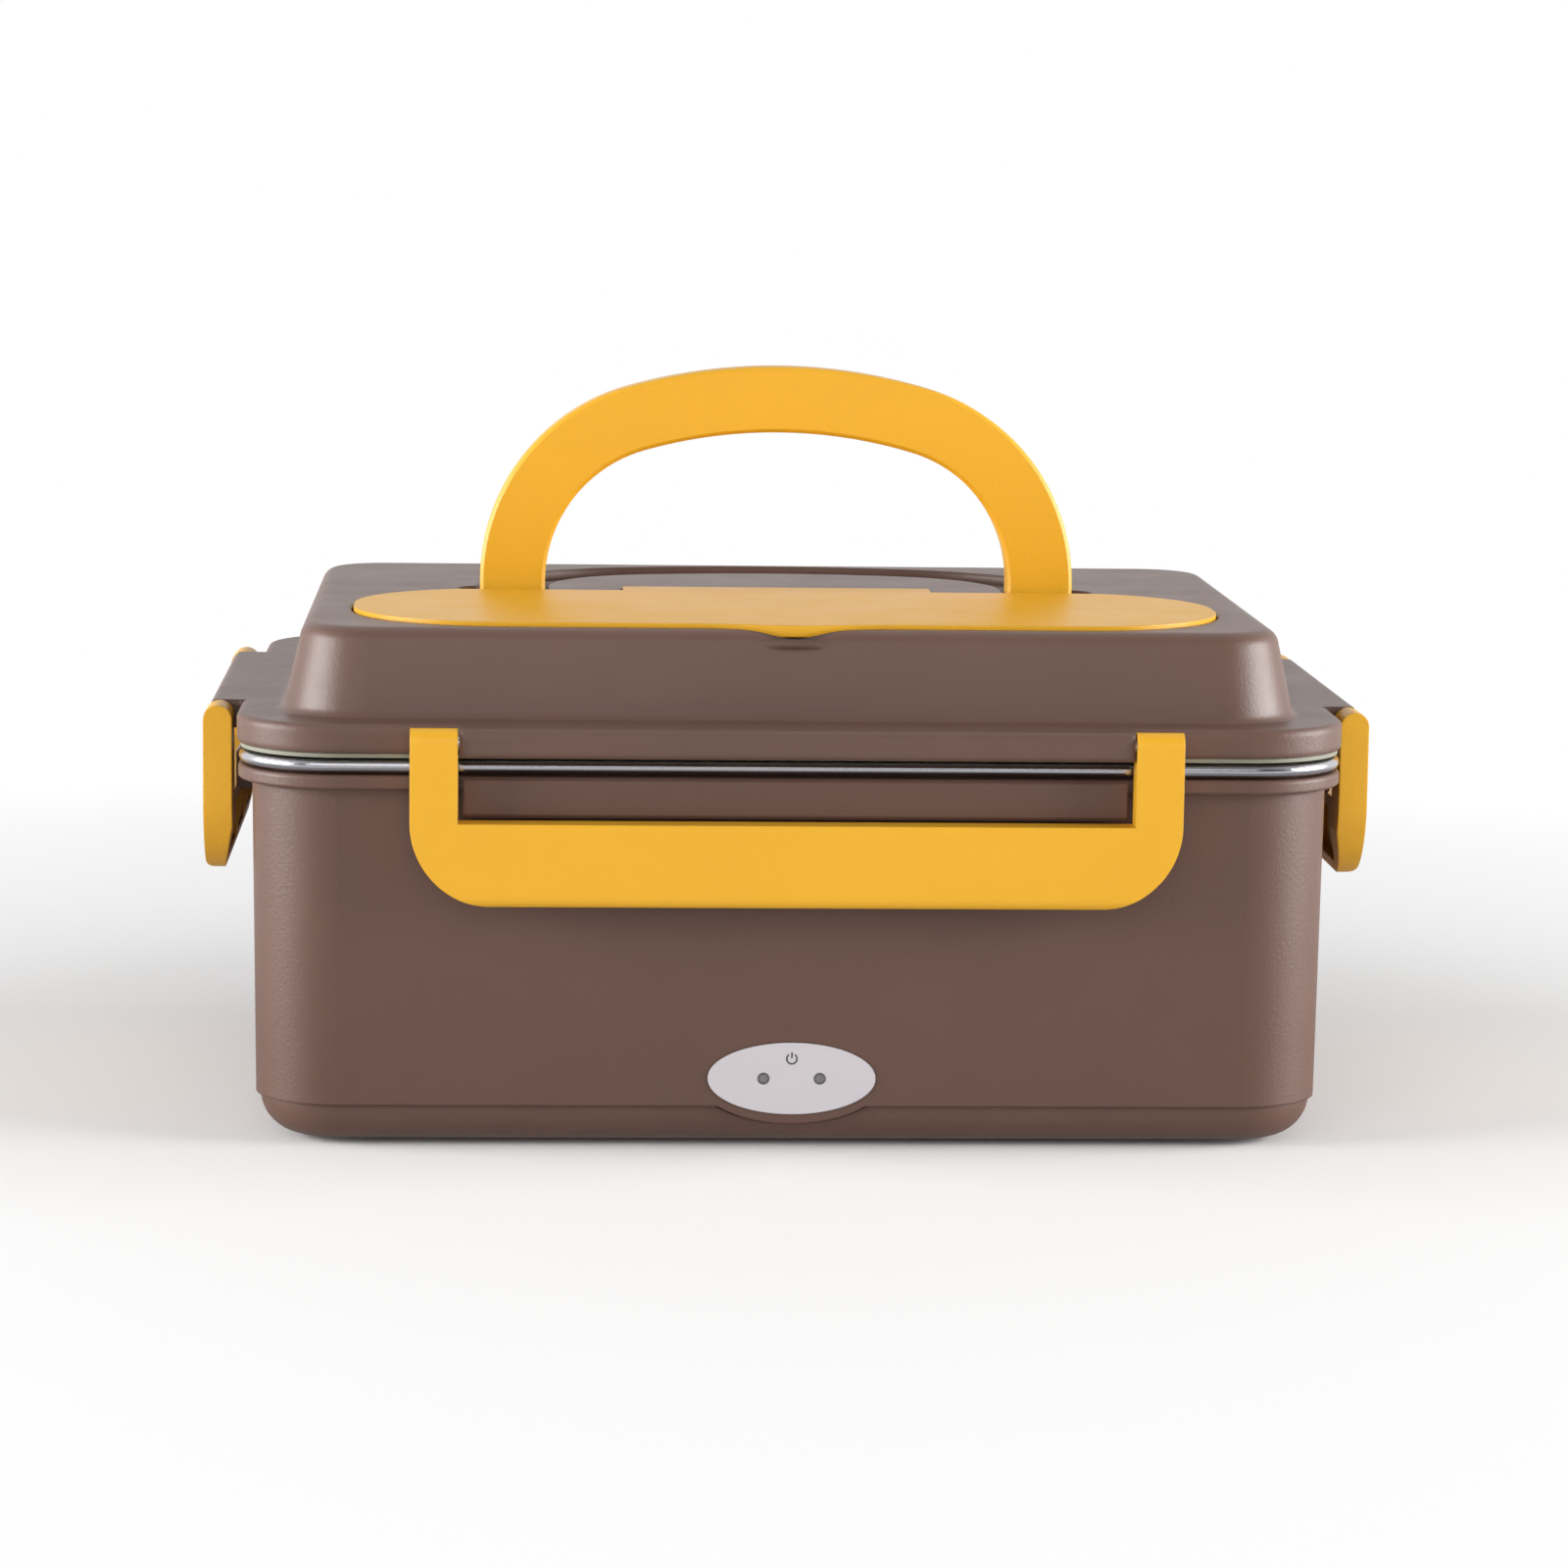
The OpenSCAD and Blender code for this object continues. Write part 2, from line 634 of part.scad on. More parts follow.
module lid_pockets() {
    // Cutlery tray
    translate([0, (tray_y0 + tray_y1) / 2, tray_z]) linear_extrude(30) rounded(tray_l, tray_y1 - tray_y0, 22);
    // Seat of the cover, with a scallop under its finger lip
    translate([0, 0, seat_z]) linear_extrude(5) {
        cover_outline(seat_gap);
        front_lip(seat_gap, lip_reach + 1.4);
    }
    // Gutter for the hinge barrel, long enough for the cover's corners to turn in
    translate([-gutter_x, hinge_y - barrel_r - 0.4, hinge_z - barrel_r - 0.4])
        cube([2 * gutter_x, 2 * barrel_r + 1, 5]);
    // Pocket that the tongue dips into
    translate([-tongue_l / 2 - seat_gap, hinge_y - barrel_r - 0.4, hinge_z - dip_r])
        cube([tongue_l + 2 * seat_gap, dip_r + barrel_r + 0.4, 20]);
    // Groove for the folded handle, with a notch outside each leg
    translate([0, handle_y, groove_z]) arched(-handle_t / 2 - 0.6)
        translate([-handle_w / 2 - groove_gap, 0]) square([handle_w + 2 * groove_gap, 20]);
    for (s = [-1, 1]) translate([s * (half_span + handle_w / 2 - 1.1), handle_y, groove_z])
        cylinder(h = 20, r = 6);
}

// Bosses under the lid's skin that hold the ends of the cover's pin
module pin_bosses(gap) {
    for (s = [0, 1]) mirror([s, 0, 0])
        translate([gutter_x - gap, hinge_y - barrel_r - 2 - gap, hinge_z - barrel_r - 2 - gap])
            cube([12 + 2 * gap, 2 * barrel_r + 4 + 2 * gap, skin_z - hinge_z + barrel_r + 2 + gap + eps]);
}

// Outer moulding: rim, raised top and latch blocks, open over the two mouldings
// that are welded in from below
module lid_shell() {
    color(cocoa) difference() {
        union() {
            swept() flange_profile();
            swept(dome_r) dome_profile();
            translate([dome_r - rim_l / 2, dome_r - rim_d / 2, skin_z])
                cube([rim_l - 2 * dome_r, rim_d - 2 * dome_r, skin]);
            latch_blocks();
            pin_bosses(0);
            // Shelf under the scallop of the cover's finger lip
            translate([0, 0, seat_z - pocket_t]) linear_extrude(pocket_t) front_lip(2, lip_reach + 1.4);
        }
        lid_pockets();
        translate([0, 0, skin_z - 5]) linear_extrude(10) cover_outline(seat_gap);
        // Bores of the latch pins
        for (q = [0 : 3]) latch_pin_places(q) cylinder(h = 30, r = latch_pin_r);
        // Bore of the cover's pin
        translate([0, hinge_y, hinge_z]) x_rod(-cover_pin_l / 2, cover_pin_l / 2, cover_pin_r);
    }
}

// Moulding under the cover: the tray with the flange that the cover lies on, the
// gutter for the hinge barrel and the pocket that the tongue dips into
module cutlery_tray() {
    wall_y0 = hinge_y - barrel_r - 2;
    color(cocoa) difference() {
        union() {
            translate([0, (tray_y0 + tray_y1) / 2, tray_z - pocket_t])
                linear_extrude(skin_z - tray_z + pocket_t)
                    rounded(tray_l + 2 * pocket_t, tray_y1 - tray_y0 + 2 * pocket_t, 22 + pocket_t);
            // Flange under the skin, cut back at the shelf of the finger lip
            translate([0, 0, seat_z - pocket_t]) linear_extrude(skin_z - seat_z + pocket_t) difference() {
                cover_outline(2);
                difference() {
                    front_lip(2.1, lip_reach + 1.4);
                    cover_outline(seat_gap - 0.1);
                }
            }
            // Step that fills the mouth up to the cover
            translate([0, 0, seat_z - pocket_t]) linear_extrude(pocket_t) cover_outline(seat_gap - 0.1);
            // Walls of the gutter and of the pocket
            translate([-gutter_x - 1, wall_y0, hinge_z - barrel_r - 2])
                cube([2 * gutter_x + 2, 2 * barrel_r + 4, skin_z - hinge_z + barrel_r + 2]);
            translate([-tongue_l / 2 - seat_gap - pocket_t, wall_y0, hinge_z - dip_r - pocket_t])
                cube([tongue_l + 2 * (seat_gap + pocket_t), dip_r + barrel_r + 2 + pocket_t,
                      skin_z - hinge_z + dip_r + pocket_t]);
        }
        lid_pockets();
        pin_bosses(0.1);
        // Notches round the feet of the handle's channel
        for (s = [-1, 1]) translate([s * half_span - 10.2, handle_y - handle_t / 2 - 2.3, groove_z - 2])
            cube([20.4, 10, 20]);
    }
}

// Moulding that the folded handle lies in, with the bosses of its pins
module handle_channel() {
    color(cocoa) difference() {
        union() {
            translate([0, handle_y, groove_z - pocket_t]) arched(-handle_t / 2 - 0.6 - pocket_t)
                translate([-handle_w / 2 - groove_gap - pocket_t, 0])
                    square([handle_w + 2 * (groove_gap + pocket_t), skin_z - groove_z + pocket_t]);
            for (s = [-1, 1]) translate([s * (half_span + 14) - 6, handle_y - 6, groove_z - pocket_t])
                cube([12, 12, skin_z - groove_z + pocket_t]);
            // Neck of the steam valve
            translate([0, valve_y, groove_z - 4]) cylinder(h = 4, r = 7);
        }
        lid_pockets();
        translate([0, handle_y, handle_z]) x_rod(-half_span - 18, half_span + 18, handle_pin_r);
        // Seat and bore of the steam valve
        translate([0, valve_y, groove_z - 1.2]) cylinder(h = 20, r = 5);
        translate([0, valve_y, groove_z - 6]) cylinder(h = 20, r = 3);
    }
}

// Puts a child at both ends of one side's block, pointing into it: the bore's
// mouth is where the pin leaves the latch arm
module latch_pin_places(q) {
    reach = q % 2 == 0 ? rim_l / 2 : rim_d / 2;
    half = (q % 2 == 0 ? side_latch_w : front_latch_w) / 2;
    for (s = [-1, 1]) rotate([0, 0, 90 * q]) translate([reach + pivot_x, s * (half - 3), pivot_z])
        rotate([90 * s, 0, 0]) children();
}

module latch_pins() {
    color(steel) for (q = [0 : 3]) latch_pin_places(q) cylinder(h = 19, r = latch_pin_r);
}

module lid_liner() {
    color(white * 0.95) difference() {
        union() {
            rim_plate(10.5, flange_z + 0.4, 1.5);
            swept() polygon([[-12.1, flange_z + 1], [-12.1, flange_z + 3.6],
                [-10.5, flange_z + 3.6], [-10.5, flange_z + 1]]);
            translate([0, valve_y, flange_z + 0.4]) cylinder(h = 4, r = 5);
        }
        translate([0, valve_y, flange_z - 1]) cylinder(h = 10, r = 3);
        // Shallow panel pressed into the underside
        translate([0, 0, flange_z - 0.2]) linear_extrude(1.1) rounded(rim_l - 50, rim_d - 90, 8);
    }
}

module lid_seal() {
    z = flange_z - 1;
    color(silicone) swept() polygon([
        [-0.8, z], [-0.8, z + 0.9], [-2.1, z + 1], [-2.1, z + 4.3], [-8.8, z + 4.3], [-8.8, z + 0.6],
        [-6.9, z - 0.5], [-6.2, z - 0.5], [-5, z + 0.6], [-3.4, z + 0.3], [-2.8, z]]);
}

module steam_valve() {
    z0 = flange_z - 0.8;
    z1 = groove_z;
    color(silicone) translate([0, valve_y, 0]) rotate_extrude() polygon([
        [1.2, z0], [4.6, z0], [4.6, flange_z + 0.4], [3, flange_z + 0.4], [3, z1 - 1.2],
        [5, z1 - 1.2], [5, z1 - 0.2], [4.4, z1], [1.2, z1 - 0.5]]);
}

/* Latches */

// A latch hangs from its arms and closes over the body's catch. Its profile is
// drawn from the front: x across, y up.
module latch_outline(w) {
    half = w / 2;
    difference() {
        union() {
            translate([-half, latch_z0 + latch_r]) square([w, pivot_z - latch_z0 - latch_r]);
            translate([-half + latch_r, latch_z0]) square([w - 2 * latch_r, latch_r + eps]);
            for (s = [-1, 1]) translate([s * (half - latch_r), latch_z0 + latch_r]) circle(latch_r);
        }
        translate([-half + arm_w, bar_top]) square([w - 2 * arm_w, 100]);
    }
}

// A latch seen from the side: it thins towards its rounded lower edge
module latch_side() {
    inner = latch_reach - latch_t;
    polygon(concat(
        [[latch_reach, pivot_z + 9], [latch_reach, latch_z0 + 2.5]],
        arc(latch_reach - 2.5, latch_z0 + 2.5, 2.5, 0, -90, 5),
        arc(inner + 3, latch_z0 + 1, 1, -90, -170, 3),
        [[inner, latch_z0 + 11], [inner, pivot_z + 9]]));
}

// Latch on one side, cut hollow behind its crossbar between hook and lower rib
module latch(q, w) {
    reach = q % 2 == 0 ? rim_l / 2 : rim_d / 2;
    half = w / 2;
    cell = (w - 24) / 3;
    color(amber) rotate([0, 0, 90 * q]) translate([reach, 0, 0]) difference() {
        union() {
            intersection() {
                translate([latch_reach + 1, 0, 0]) rotate([90, 0, -90])
                    linear_extrude(latch_t + 2) latch_outline(w);
                translate([0, half + 1, 0]) rotate([90, 0, 0]) linear_extrude(w + 2) latch_side();
            }
            for (s = [-1, 1]) translate([pivot_x, s * half, pivot_z]) rotate([90 * s, 0, 0])
                cylinder(h = arm_w, r = latch_t / 2);
        }
        for (i = [-1, 0, 1]) translate([latch_reach - latch_t - 1, (i - 0.5) * cell + 0.9, latch_z0 + 3])
            cube([latch_t - 1.4, cell - 1.8, bar_h - 5.6]);
        for (s = [-1, 1]) translate([pivot_x, s * (half - 2.9), pivot_z]) rotate([90 * s, 0, 0])
            cylinder(h = 20, r = latch_pin_r + run);
    }
}

module right_latch() { latch(0, side_latch_w); }
module rear_latch() { latch(1, front_latch_w); }
module left_latch() { latch(2, side_latch_w); }
module front_latch() { latch(3, front_latch_w); }

/* Handle */

// Section of the handle's bar, with bevelled edges
module bar_section() {
    w = handle_w / 2;
    t = handle_t / 2;
    polygon([[-w, -t + bar_bevel], [-w + bar_bevel, -t], [w - bar_bevel, -t], [w, -t + bar_bevel],
             [w, t - bar_bevel], [w - bar_bevel, t], [-w + bar_bevel, t], [-w, t - bar_bevel]]);
}

module handle() {
    color(amber) translate([0, handle_y, handle_z]) difference() {
        union() {
            rotate([90, 0, 0]) arched(0) bar_section();
            for (s = [-1, 1]) translate([s * half_span, 0, 0])
                x_rod(-handle_w / 2 + bar_bevel, handle_w / 2 - bar_bevel, handle_t / 2);
        }
        for (s = [0, 1]) mirror([s, 0, 0]) x_rod(half_span - 3, half_span + 20, handle_pin_r + run);
    }
}

module handle_pins() {
    color(steel) translate([0, handle_y, handle_z]) for (s = [0, 1]) mirror([s, 0, 0])
        x_rod(half_span - 2.8, half_span + 17, handle_pin_r);
}

/* Cutlery compartment */

// Side view of the cover: a plate rolled into a barrel at its back edge
module cover_section() {
    front = cover_y0 - lip_reach - 1;
    translate([front, cover_z]) square([hinge_y - front, cover_t]);
    translate([hinge_y, hinge_z]) circle(barrel_r);
}

module cutlery_cover() {
    color(amber) difference() {
        union() {
            intersection() {
                translate([-cover_l / 2, 0, 0]) rotate([90, 0, 90]) linear_extrude(cover_l) cover_section();
                translate([0, 0, cover_z - 5]) linear_extrude(12) {
                    cover_outline(0);
                    front_lip(0, lip_reach);
                }
            }
            translate([-tongue_l / 2, hinge_y - 1, cover_z])
                cube([tongue_l, cover_y1 + tongue_reach - hinge_y + 1, cover_t - 0.2]);
            // Stiffening rim under the cover, inside the tray's mouth
            translate([0, (tray_y0 + tray_y1) / 2, cover_z - 1.5]) linear_extrude(2) difference() {
                rounded(tray_l - 8, tray_y1 - tray_y0 - 8, 18);
                rounded(tray_l - 11, tray_y1 - tray_y0 - 11, 16.5);
            }
        }
        translate([0, hinge_y, hinge_z]) x_rod(-cover_l, cover_l, cover_pin_r + run);
    }
}

module cover_pin() {
    color(steel) translate([0, hinge_y, hinge_z])
        x_rod(0.5 - cover_pin_l / 2, cover_pin_l / 2 - 0.5, cover_pin_r);
}

// Stem of a spoon or fork: a strip that arches from the neck down to its end
module stem(neck_x, neck_z, plan) {
    rise = [for (i = [0 : 12]) let (t = i / 12)
        [neck_x + (stem_end - neck_x) * t, neck_z * (1 - t) + 6 * t * (1 - t)]];
    intersection() {
        translate([0, 20, 0]) rotate([90, 0, 0]) linear_extrude(40) polygon(concat(
            rise, [for (i = [12 : -1 : 0]) rise[i] + [0, 1.4]]));
        translate([0, 0, -1]) linear_extrude(20) polygon(plan);
    }
}

stem_end = -78;
stem_plan = [[stem_end - 1, -3.5], [-76, -6], [-62, -6], [10, -3], [60, -3.4],
             [60, 3.4], [10, 3], [-62, 6], [-76, 6], [stem_end - 1, 3.5]];

// Both pieces of cutlery lie on the tray's floor, handles to the left
module spoon() {
    bowl_x = 56;
    color(steel) translate([0, -46, tray_z]) {
        translate([bowl_x, 0, 0]) intersection() {
            difference() {
                translate([0, 0, 40]) sphere(40, $fn = 96);
                translate([0, 0, 40]) sphere(38.8, $fn = 96);
            }
            linear_extrude(6) polygon(oval(22, 13.5, 40));
        }
        stem(bowl_x - 18.5, 4.4, stem_plan);
    }
}

module fork() {
    color(steel) translate([0, -18, tray_z]) difference() {
        union() {
            stem(38, 2.2, stem_plan);
            // Head, dished from the neck to the tips
            intersection() {
                translate([0, 20, 0]) rotate([90, 0, 0]) linear_extrude(40) polygon(concat(
                    [for (i = [0 : 8]) [36 + 5.25 * i, 2.4 - 0.03 * i * (16 - i) + 0.05 * i * i]],
                    [for (i = [8 : -1 : 0]) [36 + 5.25 * i, 3.8 - 0.03 * i * (16 - i) + 0.05 * i * i]]));
                linear_extrude(20) polygon([[34, -3.4], [40, -9], [46, -10.5], [76, -10], [78, -8.6],
                    [78, 8.6], [76, 10], [46, 10.5], [40, 9], [34, 3.4]]);
            }
        }
        for (y = [-5.2, 0, 5.2]) hull() for (x = [50, 90]) translate([x, y, -1]) cylinder(h = 12, r = 1);
    }
}

outer_body();
heater_tray();
base_cover();
rubber_feet();
base_screws();
indicator_panel();
light_pipes();
status_leds();
led_board();
inlet_socket();
inlet_pins();
heating_plate();
plate_screws();
heater_elements();
heater_clamp();
clamp_nuts();
heat_shield();
thermostat();
thermal_fuse();
wiring_harness();
steel_container();
lid_shell();
cutlery_tray();
handle_channel();
lid_liner();
lid_seal();
steam_valve();
front_latch();
rear_latch();
left_latch();
right_latch();
latch_pins();
handle();
handle_pins();
cutlery_cover();
cover_pin();
spoon();
fork();
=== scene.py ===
"""Looks of an electric lunch box: materials, rim bead, panel marks, floor, light and camera."""
import math

import bmesh
import bpy
from mathutils import Matrix, Vector


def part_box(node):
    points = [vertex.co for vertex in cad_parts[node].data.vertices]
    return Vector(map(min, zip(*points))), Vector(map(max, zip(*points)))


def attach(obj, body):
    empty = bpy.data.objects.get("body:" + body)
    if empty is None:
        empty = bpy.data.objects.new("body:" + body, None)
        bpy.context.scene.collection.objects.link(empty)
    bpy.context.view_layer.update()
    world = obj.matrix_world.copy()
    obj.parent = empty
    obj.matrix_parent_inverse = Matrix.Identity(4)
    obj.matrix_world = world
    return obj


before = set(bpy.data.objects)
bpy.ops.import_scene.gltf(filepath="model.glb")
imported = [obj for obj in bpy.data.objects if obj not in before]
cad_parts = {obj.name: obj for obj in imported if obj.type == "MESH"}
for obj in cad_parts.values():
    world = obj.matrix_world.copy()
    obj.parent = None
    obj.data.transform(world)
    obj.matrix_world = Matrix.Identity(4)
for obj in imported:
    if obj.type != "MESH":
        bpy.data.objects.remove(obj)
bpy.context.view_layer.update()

MM = 0.001


def linear(r, g, b):
    """Linear colour of an 8-bit display colour."""
    def channel(v):
        v /= 255
        return v / 12.92 if v <= 0.04045 else ((v + 0.055) / 1.055) ** 2.4
    return (channel(r), channel(g), channel(b), 1)


# Outer plastics and rubbers
COCOA = linear(95, 70, 60)
AMBER = linear(219, 162, 33)
PANEL = linear(190, 185, 189)
PRINT = linear(52, 48, 50)
LENS = linear(120, 117, 119)
LENS_RING = linear(86, 82, 84)
INLET = linear(34, 33, 35)
LINER = linear(206, 203, 198)
# Seal: greenish-grey silicone with painted shade, set darker for the shadow in the crevice under
# the lid's flange; the steam valve uses the same colour
SEAL_WITH_PAINTED_SHADE = linear(132, 131, 116)
RUBBER = linear(38, 37, 38)

# Metals
STEEL = linear(192, 192, 197)
BEAD = linear(196, 195, 200)
CUTLERY = linear(214, 216, 220)
PLATED = linear(190, 191, 195)
SPRING = linear(178, 180, 184)
ALUMINIUM = linear(205, 206, 208)
BRASS = linear(214, 190, 132)

# Heater and lights, inside the body
CERAMIC = linear(222, 219, 208)
INSULATION = linear(224, 214, 186)
SLEEVE = linear(170, 38, 30)
BOARD = linear(30, 92, 58)
RESIN = linear(235, 235, 225)

# Studio
WHITE = (1, 1, 1, 1)
FLOOR_GREY = (0.86, 0.86, 0.86, 1)
AIM = Vector((0, 0, 0.06))

# Camera: place in millimetres, angles in radians, focal length in pixels of the 1600-pixel frame
CAMERA_AT = (-56.3, -1118.0, 224.9)
CAMERA_YAW = 0.0520
CAMERA_PITCH = -0.1397
CAMERA_ROLL = 0.0132
FOCAL_PX = 5059.4
FRAME_PX = 1600
SENSOR = 36
CLIP = (0.05, 20)


# Node helpers

def cleared(owner, output):
    """Empty node tree of a material or a world, and the surface socket of its output."""
    owner.use_nodes = True
    tree = owner.node_tree
    tree.nodes.clear()
    return tree, tree.nodes.new(output).inputs["Surface"]


def new_material(name, metallic=0.0):
    """Material with a principled shader."""
    mat = bpy.data.materials.new(name)
    tree, surface = cleared(mat, "ShaderNodeOutputMaterial")
    bsdf = add(tree, "ShaderNodeBsdfPrincipled", Metallic=metallic)
    tree.links.new(bsdf.outputs[0], surface)
    return mat, tree, bsdf


def add(tree, kind, **inputs):
    """Adds a node and sets its inputs by name."""
    node = tree.nodes.new(kind)
    for key, value in inputs.items():
        node.inputs[key.replace("_", " ")].default_value = value
    return node


def finish_with(tree, bsdf, colour, roughness, normal):
    """Links colour, roughness and normal to the shader."""
    for key, source in (("Base Color", colour), ("Roughness", roughness), ("Normal", normal)):
        tree.links.new(source, bsdf.inputs[key])


def maths(tree, operation, first, second):
    """Result of a calculation with two values."""
    node = tree.nodes.new("ShaderNodeMath")
    node.operation = operation
    tree.links.new(first, node.inputs[0])
    tree.links.new(second, node.inputs[1])
    return node.outputs[0]


def shader_mix(tree, factor, first, second):
    """Shader that goes from the first one to the second as the factor rises."""
    node = tree.nodes.new("ShaderNodeMixShader")
    for source, socket in zip((factor, first, second), node.inputs):
        tree.links.new(source, socket)
    return node.outputs[0]


def noise(tree, coords, scale, detail=2.0, roughness=0.5):
    """Noise value of about one feature every 1 / scale metres."""
    node = add(tree, "ShaderNodeTexNoise", Scale=scale, Detail=detail, Roughness=roughness)
    tree.links.new(coords, node.inputs["Vector"])
    return node.outputs["Fac"]


def spread(tree, value, low, high, start=0.3, end=0.7):
    """Maps values between start and end, by default a noise's usual ones, to low and high."""
    node = add(tree, "ShaderNodeMapRange",
               From_Min=start, From_Max=end, To_Min=low, To_Max=high)
    tree.links.new(value, node.inputs["Value"])
    return node.outputs["Result"]


def tint(tree, colour, value, darker, lighter):
    """Colour that wanders between a darker and a lighter version of itself."""
    node = tree.nodes.new("ShaderNodeMix")
    node.data_type = "RGBA"
    node.inputs["A"].default_value = tuple(c * darker for c in colour[:3]) + (1,)
    node.inputs["B"].default_value = tuple(min(1, c * lighter) for c in colour[:3]) + (1,)
    tree.links.new(spread(tree, value, 0, 1), node.inputs["Factor"])
    return node.outputs["Result"]


def bumped(tree, height, strength, depth, edge):
    """Normal bent by a height value, with the depth in metres, and rolled over every edge."""
    bevel = add(tree, "ShaderNodeBevel", Radius=edge)
    bevel.samples = 6
    node = add(tree, "ShaderNodeBump", Strength=strength, Distance=depth)
    tree.links.new(height, node.inputs["Height"])
    tree.links.new(bevel.outputs["Normal"], node.inputs["Normal"])
    return node.outputs["Normal"]


def object_coords(tree):
    """Place on the piece, in metres, which moves with it."""
    return tree.nodes.new("ShaderNodeTexCoord").outputs["Object"]


# Materials

def moulded(name, colour, rough=0.42, grain=1300, depth=0.16 * MM, edge=0.35 * MM,
            wander=0.035, gloss=0.42):
    """Satin moulded plastic with a fine spark-eroded grain and a slight flow mottle."""
    mat, tree, bsdf = new_material(name)
    at = object_coords(tree)
    flow = noise(tree, at, scale=26, detail=3)
    smudge = noise(tree, at, scale=70, detail=4, roughness=0.6)
    finish_with(tree, bsdf,
                tint(tree, colour, flow, 1 - wander, 1 + wander),
                spread(tree, smudge, rough - 0.035, rough + 0.035),
                bumped(tree, noise(tree, at, scale=grain), 0.35, depth, edge))
    bsdf.inputs["IOR"].default_value = 1.49
    bsdf.inputs["Specular IOR Level"].default_value = gloss
    return mat


def brushed(name, colour, rough, along="X"):
    """Drawn sheet metal with fine lines along one axis."""
    mat, tree, bsdf = new_material(name, metallic=1)
    across_scale, along_scale = 9000, 120
    stretch = tree.nodes.new("ShaderNodeMapping")
    stretch.inputs["Scale"].default_value = [
        along_scale if axis == along else across_scale for axis in "XYZ"]
    tree.links.new(object_coords(tree), stretch.inputs["Vector"])
    lines = noise(tree, stretch.outputs["Vector"], scale=1, detail=3)
    finish_with(tree, bsdf,
                tint(tree, colour, lines, 0.94, 1.04),
                spread(tree, lines, rough - 0.05, rough + 0.07),
                bumped(tree, lines, 0.12, 0.02 * MM, edge=0.2 * MM))
    return mat


def silicone(name, colour, rough=0.5):
    """Soft translucent rubber with dust-fine mottle."""
    mat, tree, bsdf = new_material(name)
    at = object_coords(tree)
    finish_with(tree, bsdf,
                tint(tree, colour, noise(tree, at, scale=90, detail=4), 0.93, 1.04),
                spread(tree, noise(tree, at, scale=400), rough - 0.06, rough + 0.08),
                bumped(tree, noise(tree, at, scale=1500), 0.3, 0.05 * MM, edge=0.3 * MM))
    bsdf.inputs["Subsurface Weight"].default_value = 0.15
    bsdf.inputs["Subsurface Radius"].default_value = (2 * MM, 1.8 * MM, 1.5 * MM)
    bsdf.inputs["IOR"].default_value = 1.41
    return mat


def plain(name, colour, rough, metallic=0.0, mottle=0.05, scale=300, edge=0.15 * MM):
    """Small hard piece with a mottled finish."""
    mat, tree, bsdf = new_material(name, metallic)
    at = object_coords(tree)
    patch = noise(tree, at, scale, detail=3)
    finish_with(tree, bsdf,
                tint(tree, colour, patch, 1 - mottle, 1 + mottle),
                spread(tree, patch, rough - 0.05, rough + 0.05),
                bumped(tree, noise(tree, at, scale=3000), 0.2, 0.03 * MM, edge))
    return mat


def dress(material, *nodes):
    """Gives CAD nodes one material."""
    for name in nodes:
        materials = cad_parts[name].data.materials
        materials.clear()
        materials.append(material)


dress(moulded("cocoa_plastic", COCOA, edge=0.6 * MM), "outer_body", "base_cover", "heater_tray")
dress(moulded("lid_plastic", COCOA, edge=1.8 * MM, gloss=0.46),
      "lid_shell", "cutlery_tray", "handle_channel")
dress(moulded("amber_plastic", AMBER, rough=0.40, wander=0.02, edge=0.5 * MM),
      "front_latch", "rear_latch", "left_latch", "right_latch", "handle", "cutlery_cover")
dress(plain("cutlery_steel", CUTLERY, 0.14, metallic=1, mottle=0.02, scale=40), "spoon", "fork")
dress(plain("plated_steel", PLATED, 0.28, metallic=1),
      "base_screws", "plate_screws", "latch_pins", "handle_pins", "cover_pin")
dress(silicone("seal_silicone", SEAL_WITH_PAINTED_SHADE), "lid_seal", "steam_valve")
dress(plain("foot_rubber", RUBBER, 0.7, edge=0.3 * MM), "rubber_feet")
dress(moulded("panel_plastic", PANEL, rough=0.36, grain=4000, depth=0.02 * MM, wander=0.01),
      "indicator_panel")
dress(plain("lens_plastic", LENS, 0.25), "light_pipes")
dress(plain("led_resin", RESIN, 0.12), "status_leds")
dress(plain("circuit_board", BOARD, 0.35, mottle=0.12), "led_board")
dress(moulded("inlet_plastic", INLET, rough=0.45, edge=0.25 * MM), "inlet_socket", "thermostat")
dress(plain("contact_brass", BRASS, 0.25, metallic=1), "inlet_pins", "clamp_nuts")
dress(brushed("plate_aluminium", ALUMINIUM, 0.34), "heating_plate")
dress(plain("heater_ceramic", CERAMIC, 0.6), "heater_elements", "thermal_fuse")
dress(brushed("spring_steel", SPRING, 0.3, along="Y"), "heater_clamp")
dress(plain("insulation_board", INSULATION, 0.75, mottle=0.12), "heat_shield")
dress(plain("wire_sleeve", SLEEVE, 0.42), "wiring_harness")
dress(moulded("liner_plastic", LINER, rough=0.4), "lid_liner")
dress(brushed("container_steel", STEEL, 0.26), "steel_container")


# Pieces added to the solids

def mesh_piece(name, material, body, verts, faces):
    """New mesh object that rides on a body."""
    mesh = bpy.data.meshes.new(name)
    mesh.from_pydata(verts, [], faces)
    mesh.materials.append(material)
    ob = bpy.data.objects.new(name, mesh)
    bpy.context.scene.collection.objects.link(ob)
    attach(ob, body)
    return ob


